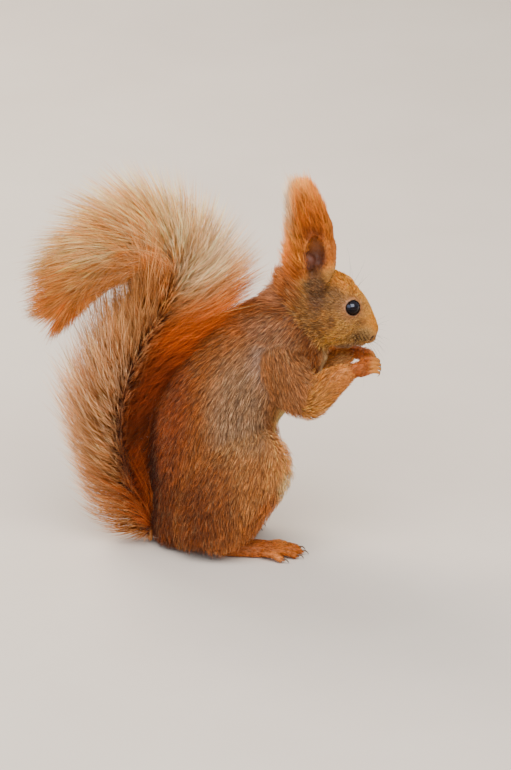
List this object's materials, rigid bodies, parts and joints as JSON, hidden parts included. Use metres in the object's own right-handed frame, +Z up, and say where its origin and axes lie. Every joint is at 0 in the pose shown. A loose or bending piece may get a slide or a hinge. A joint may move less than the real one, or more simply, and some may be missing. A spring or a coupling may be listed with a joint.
{
  "type": "red squirrel",
  "caption": "Life-size still model of a Eurasian red squirrel sitting up, hands held together at its mouth and its bushy tail arched behind its back",
  "frame": {"origin": "on the floor under the rump, in the plane the trunk and head are symmetric about", "axes": "+Z up from the floor, +X the way the squirrel faces, +Y to the squirrel's left"},
  "size_m": [0.2181, 0.0885, 0.2432],
  "materials": {
    "coat": "dense matte fur, rusty brown with orange limbs, cream chest and a long orange and straw tail",
    "eye": "wet, high gloss black",
    "bare_skin": "soft bare skin of nose, lids and pads",
    "claw": "polished dark horn"
  },
  "bodies": {
    "root": {"head": "coat", "neck": "coat", "trunk": "coat", "tail_root": "coat", "tail_stem": "coat", "tail_arch": "coat", "tail_tip": "coat", "eye_right": "eye", "ear_right": "coat", "upper_arm_right": "coat", "forearm_right": "coat", "hand_right": "coat", "thigh_right": "coat", "shank_right": "coat", "foot_right": "coat", "eye_left": "eye", "ear_left": "coat", "upper_arm_left": "coat", "forearm_left": "coat", "hand_left": "coat", "thigh_left": "coat", "shank_left": "coat", "foot_left": "coat"}
  },
  "joints": []
}
